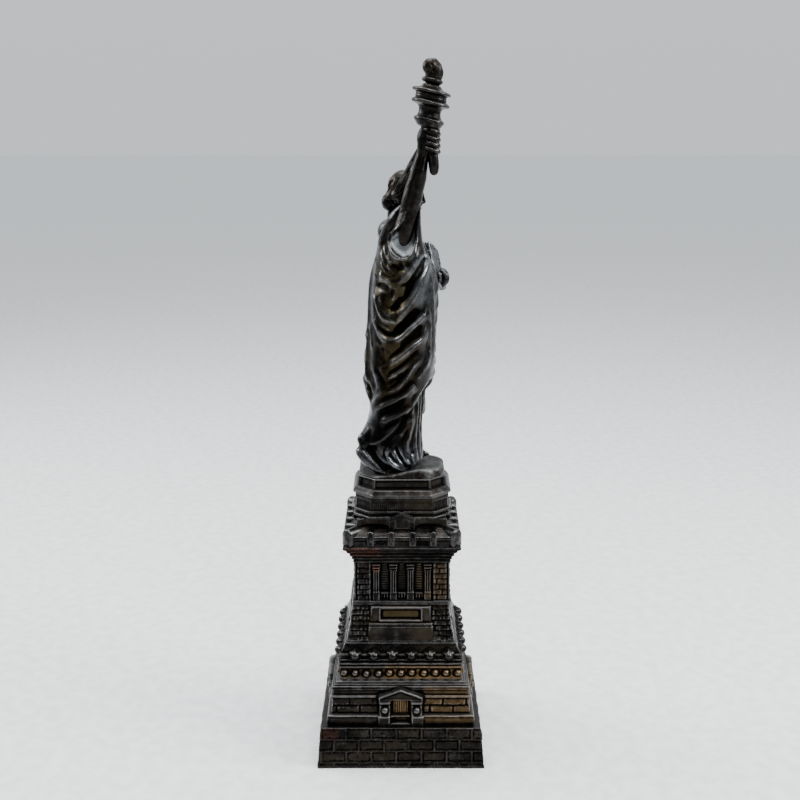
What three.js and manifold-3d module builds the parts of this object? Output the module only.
// Miniature landmark model: a robed torch bearer on a square stepped masonry pedestal.
// Millimetres, +Z up, origin at the centre of the foundation's underside.
// The figure faces -Y, and its right side is -X.
import * as THREE from 'three';
import { mergeVertices } from 'three/addons/utils/BufferGeometryUtils.js';
import Module from 'manifold-3d';

const wasm = await Module();
wasm.setup();

// ---------------------------------------------------------------- driving dimensions
const WALL = 3.2;            // thickness of the hollow castings
const ROBE_WALL = 4.2;       // the figure's wall, thick enough for the folds
const BOSS_RADIUS = 6.5;     // column inside the figure that takes the rod
const CORE_TOP = 276.0;      // the figure is hollow up to here
const GAP = 0.3;             // clearance where one piece sits inside another
const SIDES = 4;
const QUARTER = Math.PI / 2;

const FOUNDATION = { bottom: 48.9, top: 46.7, height: 24.5, courses: 4, groove: 0.7 };
const WEB_BOTTOM = 20.0;     // underside of the foundation's rod web
const DOOR_TOP = 49.9;
const STUD_TOP = 60.6;
const SHIELD_TOP = 71.6;
const PANEL_TOP = 95.2;
const LOGGIA_TOP = 119.2;
const CORNICE_TOP = 130.0;
const PARAPET_TOP = 143.2;
const NECK_TOP = 158.2;
const PLINTH_TOP = 168.3;
const MOUND_TOP = 170.5;
const TORCH_TOP = 400.0;

const STUD = { count: 11, pitch: 6.63, radius: 1.75, z: 53.5, proud: 1.2 };
const SHIELD = { count: 6, pitch: 10.8, radius: 2.8, z: 64.6, proud: 1.4 };
const COLUMN = { count: 4, pitch: 9.95, width: 4.6, proud: 2.0 };
const POST = { width: 3.7, bottom: 130.0, top: 137.6, dome: 3.2 };

const ATTIC = { half: 25.8, proud: 4.3, porch: 11.4, eaves: 14.5, hood: 1.9 };
const NECK_CORE = 19.0;      // half width of the hollow inside the fluted neck

const ROD = { radius: 3.0, bottom: 11.0, top: 196.0 };
const NUT = { flats: 10.0, height: 5.0 };
const WASHER = { radius: 14.0, thickness: 1.5 };
const DOWEL_RADIUS = 1.2;

const TORCH_AXIS = { x: -23.0, y: -16.0, lean: 0.035, shear: 0.22 };

const BRONZE = { color: 0x2b2622, roughness: 0.42, metalness: 0.85 };
const GILT = { color: 0x4a3a22, roughness: 0.40, metalness: 0.85 };
const SMOKED = { color: 0x35322f, roughness: 0.36, metalness: 0.85 };
const STEEL = { color: 0x9a9c9e, roughness: 0.35, metalness: 0.95 };

// ---------------------------------------------------------------- solids
function solidOf(geometry) {
  const plain = geometry.index ? geometry.toNonIndexed() : geometry.clone();
  plain.deleteAttribute('normal');
  plain.deleteAttribute('uv');
  const merged = mergeVertices(plain, 1e-4);
  const vertProperties = new Float32Array(merged.attributes.position.array);
  const triVerts = dropSlivers(merged.index.array);
  return new wasm.Manifold(new wasm.Mesh({ numProp: 3, vertProperties, triVerts }));
}

function dropSlivers(index) {
  const kept = [];
  for (let i = 0; i < index.length; i += 3) {
    const [a, b, c] = [index[i], index[i + 1], index[i + 2]];
    if (a !== b && b !== c && c !== a) kept.push(a, b, c);
  }
  return new Uint32Array(kept);
}

function geometryOf(solid) {
  const mesh = solid.getMesh();
  const geometry = new THREE.BufferGeometry();
  const positions = new Float32Array(mesh.numVert * 3);
  for (let v = 0; v < mesh.numVert; v += 1) {
    for (let k = 0; k < 3; k += 1) positions[3 * v + k] = mesh.vertProperties[v * mesh.numProp + k];
  }
  geometry.setAttribute('position', new THREE.BufferAttribute(positions, 3));
  geometry.setIndex(new THREE.BufferAttribute(new Uint32Array(mesh.triVerts), 1));
  return geometry;
}

function joined(solids) {
  return solids.reduce((whole, next) => whole.add(next));
}

function block(width, depth, height, x, y, bottom) {
  return solidOf(new THREE.BoxGeometry(width, depth, height).translate(x, y, bottom + height / 2));
}

function post(radiusTop, radiusBottom, height, x, y, bottom, segments = 12) {
  const geometry = new THREE.CylinderGeometry(radiusTop, radiusBottom, height, segments);
  return solidOf(geometry.rotateX(QUARTER).translate(x, y, bottom + height / 2));
}

// A solid of revolution about Z with few sides. The profile is a list of [radius, z].
function turned(profile, segments) {
  const points = profile.map(([radius, z]) => new THREE.Vector2(radius, z));
  return new THREE.LatheGeometry(points, segments).rotateX(QUARTER);
}

// A square casting whose outline is [half width, z] from the bottom up, hollow inside the wall.
function squareTier(outline, wall = WALL) {
  const inner = outline.map(([half, z]) => [Math.min(half, narrowest(outline)) - wall, z]);
  const loop = [...outline, ...inner.filter((_, i) => i === 0 || i === inner.length - 1).reverse()];
  loop.push(outline[0]);
  const corner = loop.map(([half, z]) => [half * Math.SQRT2, z]);
  return solidOf(turned(corner, 4).rotateZ(QUARTER / 2));
}

function narrowest(outline) {
  return Math.min(...outline.map(([half]) => half));
}

// A square block with cut corners. Levels are [half width, half of the uncut face, z].
function cutCornerSolid(levels) {
  const first = levels[0][2];
  const last = levels[levels.length - 1][2];
  const square = levels.map(([half, , z]) => [half * Math.SQRT2, z]);
  const diamond = levels.map(([half, face, z]) => [half + face, z]);
  const ends = (profile) => [[0, first], ...profile, [0, last]];
  const upright = solidOf(turned(ends(square), 4).rotateZ(QUARTER / 2));
  return upright.intersect(solidOf(turned(ends(diamond), 4)));
}

function rotatedToSide(geometry, side) {
  return geometry.clone().rotateZ(side * QUARTER);
}

// Builds the same features on all four faces. make() gives geometries for the -Y face.
function onEverySide(make) {
  const solids = [];
  for (let side = 0; side < SIDES; side += 1) {
    for (const geometry of make()) solids.push(solidOf(rotatedToSide(geometry, side)));
  }
  return joined(solids);
}

function boxOn(face, width, height, x, bottom, proud, sunk = 0.8) {
  const depth = proud + sunk;
  const geometry = new THREE.BoxGeometry(width, depth, height);
  return geometry.translate(x, -(face + proud) + depth / 2, bottom + height / 2);
}

function discOn(face, radius, x, z, proud, sunk = 0.6, segments = 6) {
  const geometry = new THREE.CylinderGeometry(radius, radius * 0.55, proud + sunk, segments);
  return geometry.translate(x, -(face + proud) + (proud + sunk) / 2, z);
}

function gableOn(face, width, rise, x, bottom, proud, sunk = 0.8) {
  const shape = new THREE.Shape();
  shape.moveTo(-width / 2, 0);
  shape.lineTo(width / 2, 0);
  shape.lineTo(width / 2, rise * 0.22);
  shape.lineTo(0, rise);
  shape.lineTo(-width / 2, rise * 0.22);
  const geometry = new THREE.ExtrudeGeometry(shape, { depth: proud + sunk, bevelEnabled: false });
  return geometry.rotateX(QUARTER).translate(x, -(face - sunk), bottom);
}

function spaced(count, pitch) {
  return Array.from({ length: count }, (_, i) => (i - (count - 1) / 2) * pitch);
}

// A closed skin through rings of points with equal counts, capped at both ends.
function skin(rings) {
  const count = rings[0].length;
  const points = rings.flat();
  const middle = (ring) => ring.reduce((sum, p) => sum.add(p), new THREE.Vector3()).divideScalar(count);
  const bottom = points.push(middle(rings[0])) - 1;
  const top = points.push(middle(rings[rings.length - 1])) - 1;
  const index = [];
  for (let r = 0; r < rings.length - 1; r += 1) {
    for (let i = 0; i < count; i += 1) {
      const a = r * count + i;
      const b = r * count + (i + 1) % count;
      index.push(a, b, b + count, a, b + count, a + count);
    }
  }
  const lastRing = (rings.length - 1) * count;
  for (let i = 0; i < count; i += 1) {
    const next = (i + 1) % count;
    index.push(bottom, next, i, top, lastRing + i, lastRing + next);
  }
  const geometry = new THREE.BufferGeometry().setFromPoints(points);
  geometry.setIndex(index);
  return solidOf(geometry);
}

// A level ring. The front is -Y, and ripple adds drapery flutes.
function levelRing(x, back, front, halfWidth, z, count = 24, ripple = 0) {
  const ring = [];
  for (let i = 0; i < count; i += 1) {
    const angle = (i / count) * 2 * Math.PI;
    const wave = 1 + ripple * (i % 2 ? -1 : 1);
    const px = x + halfWidth * wave * Math.cos(angle);
    const py = -(front + back) / 2 + ((front - back) / 2) * wave * Math.sin(angle);
    ring.push(new THREE.Vector3(px, py, z));
  }
  return ring;
}

// A limb through stations of [x, y, z, radius], with round sections square to its run.
function limb(stations, grow = 0, count = 10) {
  const centres = stations.map(([x, y, z]) => new THREE.Vector3(x, y, z));
  const rings = centres.map((centre, i) => {
    const ahead = centres[Math.min(i + 1, centres.length - 1)];
    const behind = centres[Math.max(i - 1, 0)];
    const run = ahead.clone().sub(behind).normalize();
    const across = new THREE.Vector3(1, 0, 0).cross(run).normalize();
    const other = run.clone().cross(across);
    const radius = stations[i][3] + grow;
    return Array.from({ length: count }, (_, k) => {
      const angle = (k / count) * 2 * Math.PI;
      const step = across.clone().multiplyScalar(radius * Math.cos(angle));
      return centre.clone().add(step).addScaledVector(other, radius * Math.sin(angle));
    });
  });
  return skin(rings);
}

function ball(rx, ry, rz, x, y, z, grow = 0) {
  const geometry = new THREE.SphereGeometry(1, 12, 8).scale(rx + grow, ry + grow, rz + grow);
  return solidOf(geometry.translate(x, y, z));
}

// ---------------------------------------------------------------- pedestal
function foundationBlock() {
  const { bottom, top, height, courses, groove } = FOUNDATION;
  const outline = [];
  const at = (z) => bottom + ((top - bottom) * z) / height;
  for (let course = 0; course < courses; course += 1) {
    const low = (course * height) / courses + (course ? groove / 2 : 0);
    const high = ((course + 1) * height) / courses - (course < courses - 1 ? groove / 2 : 0);
    outline.push([at(low), low], [at(high), high]);
    if (course < courses - 1) {
      outline.push([at(high) - groove, high], [at(high) - groove, high + groove]);
    }
  }
  const web = block(2 * top - 4, 2 * top - 4, height - WEB_BOTTOM, 0, 0, WEB_BOTTOM);
  const hole = post(ROD.radius + GAP, ROD.radius + GAP, height, 0, 0, WEB_BOTTOM - 5);
  return squareTier(outline).add(web).subtract(hole);
}

function doorTier() {
  const walls = squareTier([
    [42.9, 24.5], [43.2, 27.5], [42.2, 30.5], [40.35, 30.5], [40.0, 34.9], [39.5, 35.1], [39.5, 35.5],
    [39.9, 35.6], [39.6, 40.0], [39.8, 41.5], [39.2, 44.0], [39.3, 46.7], [37.9, 47.6], [37.9, 48.4],
    [36.3, DOOR_TOP],
  ]);
  const face = 39.6;
  const doorways = onEverySide(() => [
    boxOn(face, 7.0, 5.5, -9.8, 24.5, 3.4, 3.0),
    boxOn(face, 7.0, 5.5, 9.8, 24.5, 3.4, 3.0),
    boxOn(face, 6.4, 9.0, -9.0, 30.0, 2.4, 3.0),
    boxOn(face, 6.4, 9.0, 9.0, 30.0, 2.4, 3.0),
    discOn(face + 2.4, 1.8, -9.2, 33.5, 0.8),
    discOn(face + 2.4, 1.8, 9.2, 33.5, 0.8),
    boxOn(face, 24.3, 2.2, 0, 38.6, 2.6, 2.6),
    gableOn(face, 24.3, 5.7, 0, 40.8, 2.2, 2.6),
    ...spaced(5, 2.1).map((x) => boxOn(face, 0.8, 9.2, x, 29.6, 1.0, 1.2)),
  ]);
  return walls.add(doorways);
}

function studCourse() {
  const walls = squareTier([
    [35.95, DOOR_TOP], [35.7, 57.0], [36.3, 57.0], [36.3, 58.4], [35.9, 58.4], [35.9, 59.6], [36.15, STUD_TOP],
  ]);
  const { count, pitch, radius, z, proud } = STUD;
  const studs = onEverySide(() => spaced(count, pitch).map((x) => discOn(35.8, radius, x, z, proud)));
  return walls.add(studs);
}

function shieldCourse() {
  const walls = squareTier([
    [36.1, STUD_TOP], [36.1, 65.6], [35.0, 66.6], [35.0, 67.2], [33.4, 69.2], [33.4, 69.8], [32.2, SHIELD_TOP],
  ]);
  const { count, pitch, radius, z, proud } = SHIELD;
  const shields = onEverySide(() => spaced(count, pitch).map((x) => discOn(36.1, radius, x, z, proud, 0.6, 8)));
  return walls.add(shields);
}

function panelTier() {
  const walls = squareTier([
    [31.2, SHIELD_TOP], [31.2, 72.6], [29.6, 81.0], [27.9, 92.6], [28.6, 93.2], [28.5, 94.2], [27.6, 94.4],
    [27.5, PANEL_TOP],
  ]);
  const face = 28.6;
  const frames = onEverySide(() => [
    boxOn(face, 37.0, 9.0, 0, 72.0, 2.4, 1.6),
    boxOn(face, 37.6, 1.8, 0, 81.0, 2.6, 1.6),
    boxOn(face, 34.6, 1.6, 0, 91.6, 0.9, 1.4),
    boxOn(face, 5.4, 8.8, -14.6, 82.8, 0.9, 1.4),
    boxOn(face, 5.4, 8.8, 14.6, 82.8, 0.9, 1.4),
  ]);
  return walls.add(frames);
}

function loggiaTier() {
  const walls = squareTier([
    [25.2, PANEL_TOP], [24.6, LOGGIA_TOP],
  ], WALL - 1.0);
  const { count, pitch, width, proud } = COLUMN;
  const corner = 27.7;
  const top = LOGGIA_TOP;
  const features = onEverySide(() => [
    boxOn(corner, 9.6, top - PANEL_TOP, -corner + 4.8, PANEL_TOP, 0, 3.4),
    boxOn(corner, 9.6, top - PANEL_TOP, corner - 4.8, PANEL_TOP, 0, 3.4),
    boxOn(corner, 36.4, 1.2, 0, PANEL_TOP, 0.6, 3.8),
    boxOn(corner, 36.4, 1.0, 0, 99.2, -1.2, 2.4),
    ...spaced(3, COLUMN.pitch).map((x) => boxOn(corner, 4.2, 3.2, x, 96.2, -1.6, 2.4)),
    ...spaced(count, pitch).flatMap((x) => [
      boxOn(corner, width, 5.0, x, PANEL_TOP + 0.2, 0.4, 3.8),
      boxOn(corner, width - 0.9, top - 101.0, x, 100.0, -0.5, 3.0),
      boxOn(corner, width, 4.6, x, top - 5.6, 0.1, 3.6),
    ]),
  ]);
  return walls.add(features);
}

function corniceTier() {
  return squareTier([
    [28.3, LOGGIA_TOP], [28.3, 120.5], [28.9, 121.5], [28.9, 122.7], [30.2, 123.8], [30.2, 125.0], [32.0, 126.6],
    [32.0, 127.8], [33.9, 128.9], [33.9, CORNICE_TOP],
  ]);
}

function parapetTier() {
  const walls = squareTier([
    [32.2, CORNICE_TOP], [32.2, 131.0], [31.2, 131.0], [30.9, 134.8], [31.4, 134.8], [31.2, 136.3], [30.0, 136.3],
    [26.4, 139.9], [25.8, 139.9], [25.8, PARAPET_TOP],
  ]);
  const places = [-17.8, -6.0, 6.0, 17.8];
  const height = POST.top - POST.bottom;
  const posts = onEverySide(() => [
    ...[...places, -29.9, 29.9].map((x) => boxOn(30.4, POST.width, height, x, POST.bottom, 1.5, 2.2)),
    ...[...places, -29.9].map((x) => domeAt(x, -30.0)),
    boxOn(ATTIC.half, ATTIC.porch, PARAPET_TOP - 137.6, 0, 137.6, ATTIC.proud, 1.0),
    boxOn(ATTIC.half + ATTIC.proud, ATTIC.porch, 3.4, 0, 142.6, 0, ATTIC.hood),
    gableOn(ATTIC.half + ATTIC.proud, ATTIC.eaves, 3.6, 0, 145.8, 0, ATTIC.hood),
  ]);
  return walls.add(posts);
}

function domeAt(x, y) {
  const { width, top, dome } = POST;
  const profile = [[0, top - 0.5], [width / 2, top - 0.5], [width / 2.4, top + 1.4], [0, top + dome]];
  return turned(profile, 6).translate(x, y, 0);
}

function rodHole(bottom, top) {
  return post(ROD.radius + GAP, ROD.radius + GAP, top - bottom + 2, 0, 0, bottom - 1);
}

// The neck, plinth and mound are solid apart from a pocket and the rod's hole.
function flutedNeck() {
  const levels = [
    [27.8, 19.0, PARAPET_TOP], [27.8, 19.0, 146.6], [26.9, 18.4, 147.0], [26.9, 18.4, 148.3], [27.8, 19.0, 148.7],
    [27.8, 19.0, 149.8], [26.4, 17.4, 150.2], [26.3, 17.2, 155.0], [26.8, 17.3, 156.0], [26.8, 17.3, NECK_TOP],
  ];
  const core = block(2 * NECK_CORE, 2 * NECK_CORE, 12.8, 0, 0, PARAPET_TOP - 1);
  return cutCornerSolid(levels).subtract(core).subtract(rodHole(PARAPET_TOP, NECK_TOP));
}

function octagonalPlinth() {
  const levels = [
    [27.4, 16.6, NECK_TOP], [28.3, 16.8, 158.8], [28.4, 16.8, 159.6], [26.5, 15.8, 161.8], [25.4, 15.5, 162.3],
    [25.0, 15.2, PLINTH_TOP],
  ];
  const body = cutCornerSolid(levels).subtract(rodHole(NECK_TOP, PLINTH_TOP));
  const recesses = onEverySide(() => [boxOn(25.0, 25.0, 3.2, 0, 163.8, 0.6, 0.7)]);
  return body.subtract(recesses);
}

function figureMound() {
  const base = cutCornerSolid([[24.3, 15.4, PLINTH_TOP], [24.0, 15.0, 169.6], [23.4, 14.4, MOUND_TOP]]);
  const front = ball(13.0, 3.0, 5.4, 3.0, -19.4, MOUND_TOP).subtract(block(60, 60, 20, 0, 0, 149.5));
  return base.add(front).subtract(rodHole(PLINTH_TOP, MOUND_TOP + 6));
}

// ---------------------------------------------------------------- figure
const ARM = [
  [-17.5, -3.5, 303.0, 5.6], [-19.0, -4.8, 315.0, 6.0], [-20.3, -7.2, 328.0, 5.7], [-21.6, -9.6, 337.5, 4.8],
  [-22.4, -12.0, 344.5, 3.9], [-22.9, -14.0, 353.0, 3.8],
];
const HANDLE = [
  [-23.2, -18.6, 338.8, 1.3], [-23.2, -17.6, 346.0, 2.3], [-23.0, -16.2, 355.0, 2.9], [-23.0, -15.6, 363.0, 3.1],
  [-23.0, -15.4, 376.0, 3.3],
];
const NECK = [[0, -0.5, 300.0, 5.6], [0, -1.2, 309.0, 5.3], [0, -2.2, 319.0, 5.8]];
const FOREARM = [
  [22.0, 4.0, 277.0, 6.2], [22.5, -8.0, 272.0, 5.2], [20.0, -17.0, 268.6, 4.4], [16.4, -22.6, 269.4, 4.0],
  [15.0, -25.0, 273.0, 2.6],
];
const HAND = { rx: 5.2, ry: 2.5, rz: 5.8, x: 15.0, y: -25.4, z: 276.0 };
const TABLET = { width: 20.0, thickness: 3.6, height: 27.0, x: 15.5, y: -19.6, z: 285.5, tilt: 0.3, lean: -0.25 };

// Stations of the robe: [back, front, half width, z, middle x], depth measured towards the front.
const ROBE = [
  [-20.5, 15.8, 21.0, MOUND_TOP + GAP, 0], [-23.0, 14.4, 21.6, 178.0, 0], [-22.8, 14.0, 21.4, 186.0, 0],
  [-19.9, 14.2, 20.6, 197.0, 0], [-18.7, 15.0, 20.8, 209.0, 0], [-21.0, 17.8, 22.0, 220.0, 0],
  [-20.3, 20.0, 22.8, 233.0, 0], [-18.4, 20.3, 22.8, 250.5, 0], [-17.9, 20.2, 22.4, 264.0, 0],
  [-17.6, 19.0, 22.2, 274.0, 0], [-16.5, 17.0, 22.4, 286.0, 0], [-14.8, 14.2, 22.6, 296.0, 0],
  [-12.8, 11.2, 20.0, 303.5, 0], [-9.6, 8.6, 12.0, 308.5, 0], [-6.4, 6.4, 6.6, 311.0, 0],
];

function tabletSolid(grow = 0) {
  const { width, thickness, height, x, y, z, tilt, lean } = TABLET;
  const geometry = new THREE.BoxGeometry(width + grow, thickness + grow, height + grow);
  return solidOf(geometry.rotateX(lean).rotateY(tilt).translate(x, y, z));
}

function dowel(from, to, radius) {
  return limb([[...from, radius], [...to, radius]], 0, 10);
}

const DIADEM = { y: -2.0, z: 329.5, tilt: -1.28, rays: 7, spread: 0.42, length: 11.2 };
const TORCH_PIN = { front: -20.4, back: -11.4, z: 357.0, radius: 0.8 };
const ARM_DOWEL = { from: [-15.6, -2.4, 293.0], to: [-18.6, -5.8, 311.0] };
const HEAD_DOWEL = { from: [0, -0.3, 292.0], to: [0, -1.1, 309.0] };

function dowelHole({ from, to }, over = 0.4) {
  const start = new THREE.Vector3(...from);
  const end = new THREE.Vector3(...to);
  const run = end.clone().sub(start).normalize().multiplyScalar(over);
  start.sub(run);
  end.add(run);
  return dowel(start.toArray(), end.toArray(), DOWEL_RADIUS + GAP);
}

function leftForearm(grow = 0) {
  const { rx, ry, rz, x, y, z } = HAND;
  return limb(FOREARM, grow).add(ball(rx, ry, rz, x, y, z, grow));
}

// The hollow inside the robe, open at the hem, around the boss that takes the rod.
function robeCore() {
  const levels = ROBE.filter(([, , , z]) => z < CORE_TOP);
  const rings = levels.map(([back, front, half, z, x], i) => (
    levelRing(x, back + ROBE_WALL, front - ROBE_WALL, half - ROBE_WALL, i ? z : z - 1, 14)
  ));
  const boss = post(BOSS_RADIUS, BOSS_RADIUS, CORE_TOP - MOUND_TOP, 0, 0, MOUND_TOP - 2);
  return skin(rings).subtract(boss);
}

function figureBody() {
  const robe = skin(ROBE.map(([back, front, half, z, x]) => levelRing(x, back, front, half, z, 28, 0.025)))
    .subtract(robeCore());
  const sleeve = limb([
    [-12.0, 0.0, 276.0, 7.0], [-17.0, -2.4, 288.0, 9.4], [-18.2, -4.2, 298.0, 9.8], [-18.4, -5.0, 306.0, 8.6],
  ]);
  const leftSleeve = limb([
    [14.0, 4.0, 302.0, 7.0], [20.0, 5.0, 290.0, 8.4], [22.0, 2.0, 278.0, 9.0], [22.2, -5.0, 273.6, 7.6],
  ]);
  const mantle = limb([[-6, -15, 296, 5], [-2, -16.6, 270, 5.2], [3, -17.0, 245, 5.0], [6, -15.0, 224, 4.4]]);
  const foot = limb([
    [-13.0, 21.0, 184.5, 3.6], [-13.0, 20.4, 179.5, 4.2], [-12.8, 15.5, 175.0, 3.6], [-12.6, 11.0, 173.6, 2.2],
  ]);
  return joined([robe, sleeve, leftSleeve, mantle, foot])
    .subtract(limb(ARM, GAP))
    .subtract(limb(NECK, GAP))
    .subtract(leftForearm(GAP))
    .subtract(tabletSolid(2 * GAP))
    .subtract(dowelHole(ARM_DOWEL))
    .subtract(dowelHole(HEAD_DOWEL))
    .subtract(rodHole(MOUND_TOP, ROD.top - 0.6));
}

function headSolid(grow = 0) {
  const skull = ball(8.0, 9.4, 11.2, 0, -3.0, 328.6, grow);
  const jaw = ball(6.0, 6.8, 7.2, 0, -5.4, 323.4, grow);
  const bun = ball(4.8, 4.4, 4.6, 0, 7.0, 323.2, grow);
  return joined([skull, jaw, bun, limb(NECK, grow)]);
}

function head() {
  return headSolid().subtract(dowelHole(HEAD_DOWEL));
}

// The diadem is half a collar over the hair. Its rays fan out in the collar's steep plane.
function crown() {
  const { y, z, tilt, rays, spread, length } = DIADEM;
  const placed = (geometry) => solidOf(geometry.scale(0.82, 1.0, 1.0).rotateX(tilt).translate(0, y, z));
  const collar = placed(turned([[8.8, -1.6], [12.4, -1.6], [12.8, 1.6], [8.8, 1.6], [8.8, -1.6]], 28));
  const solids = [collar];
  for (let i = 0; i < rays; i += 1) {
    const angle = -QUARTER + (i - (rays - 1) / 2) * spread;
    const ray = new THREE.ConeGeometry(1.3, length, 6).translate(0, length / 2 + 12.0, 0);
    solids.push(placed(ray.rotateZ(angle - QUARTER)));
  }
  const lower = block(60, 60, 30, 0, 0, z - 30);
  return joined(solids).subtract(lower).subtract(headSolid(GAP));
}

function torchShear(geometry) {
  const { x, y, lean, shear } = TORCH_AXIS;
  const matrix = new THREE.Matrix4().set(
    1, 0, 0, x,
    0, 1, -lean, y + lean * 385,
    0, shear, 1, 0,
    0, 0, 0, 1,
  );
  return geometry.applyMatrix4(matrix);
}

function handleSolid(grow = 0) {
  return limb(HANDLE, grow);
}

function rightArm() {
  const fist = ball(6.2, 6.0, 7.4, TORCH_AXIS.x, -14.9, 357.0);
  const fingers = [352.6, 356.0, 359.4, 362.6].map((z) => (
    limb([[-27.6, -10.8, z + 0.8, 1.7], [-28.6, -15.0, z, 1.9], [-26.6, -20.4, z - 0.8, 1.7]], 0, 8)
  ));
  return joined([limb(ARM), fist, ...fingers])
    .subtract(handleSolid(GAP))
    .subtract(dowelHole(ARM_DOWEL))
    .subtract(torchPin(GAP));
}

// A blind pin from the front of the fist. Its hole runs out past the knuckles.
function torchPin(grow = 0) {
  const { front, back, z, radius } = TORCH_PIN;
  const length = back - front + 6 * grow;
  const pin = new THREE.CylinderGeometry(radius + grow, radius + grow, length, 8);
  return solidOf(pin.translate(TORCH_AXIS.x, back + grow - length / 2, z));
}

function torchHandle() {
  return handleSolid().subtract(torchPin(GAP));
}

function torchGallery() {
  const profile = [
    [0, 372.0], [4.2, 372.0], [4.4, 373.6], [8.4, 374.0], [10.3, 375.2], [10.3, 376.8], [9.0, 377.4], [8.6, 380.6],
    [10.3, 381.2], [10.5, 383.4], [9.2, 384.0], [6.0, 384.6], [0, 384.6],
  ];
  return solidOf(torchShear(turned(profile, 14))).subtract(handleSolid(GAP));
}

function torchFlame() {
  const profile = [
    [0, 385.0], [4.6, 385.0], [4.9, 386.2], [3.4, 387.4], [3.0, 388.6], [4.4, 391.0], [4.9, 393.6], [4.3, 396.4],
    [2.5, 398.8], [0, TORCH_TOP],
  ];
  const leaning = turned(profile, 12);
  return solidOf(leaning.translate(TORCH_AXIS.x, TORCH_AXIS.y, 0)).subtract(flameSeat());
}

// The flame's foot is cut to sit just above the gallery's slanted top.
function flameSeat() {
  const cut = new THREE.BoxGeometry(30, 30, 10).translate(0, 0, 384.6 + GAP - 5.0);
  return solidOf(torchShear(cut));
}

function leftArm() {
  return leftForearm().subtract(tabletSolid(2 * GAP));
}

// ---------------------------------------------------------------- fasteners
function tieRod() {
  return post(ROD.radius, ROD.radius, ROD.top - ROD.bottom - 1.0, 0, 0, ROD.bottom, 16);
}

function ringAround(outer, bottom, height, segments) {
  const body = post(outer, outer, height, 0, 0, bottom, segments);
  return body.subtract(post(ROD.radius + GAP, ROD.radius + GAP, height + 2, 0, 0, bottom - 1, 16));
}

function rodWasher() {
  return ringAround(WASHER.radius, WEB_BOTTOM - WASHER.thickness, WASHER.thickness, 24);
}

function rodNut() {
  const corner = NUT.flats / Math.sqrt(3);
  return ringAround(corner, WEB_BOTTOM - WASHER.thickness - NUT.height, NUT.height, 6);
}

// ---------------------------------------------------------------- assembly
const group = new THREE.Group();

function place(name, solid, look) {
  const material = new THREE.MeshStandardMaterial(look);
  const mesh = new THREE.Mesh(geometryOf(solid), material);
  mesh.name = name;
  group.add(mesh);
}

place('foundation_block', foundationBlock(), BRONZE);
place('door_tier', doorTier(), GILT);
place('stud_course', studCourse(), GILT);
place('shield_course', shieldCourse(), BRONZE);
place('panel_tier', panelTier(), BRONZE);
place('loggia_tier', loggiaTier(), BRONZE);
place('cornice', corniceTier(), BRONZE);
place('parapet_tier', parapetTier(), BRONZE);
place('fluted_neck', flutedNeck(), BRONZE);
place('octagonal_plinth', octagonalPlinth(), BRONZE);
place('figure_mound', figureMound(), BRONZE);
place('figure_body', figureBody(), SMOKED);
place('head', head(), SMOKED);
place('crown', crown(), SMOKED);
place('right_arm', rightArm(), SMOKED);
place('torch_handle', torchHandle(), SMOKED);
place('torch_gallery', torchGallery(), SMOKED);
place('torch_flame', torchFlame(), SMOKED);
place('left_arm', leftArm(), SMOKED);
place('tablet', tabletSolid(), SMOKED);
place('tie_rod', tieRod(), STEEL);
place('rod_washer', rodWasher(), STEEL);
place('rod_nut', rodNut(), STEEL);
place('arm_dowel', dowel(ARM_DOWEL.from, ARM_DOWEL.to, DOWEL_RADIUS), STEEL);
place('head_dowel', dowel(HEAD_DOWEL.from, HEAD_DOWEL.to, DOWEL_RADIUS), STEEL);
place('torch_pin', torchPin(), STEEL);

export default group;
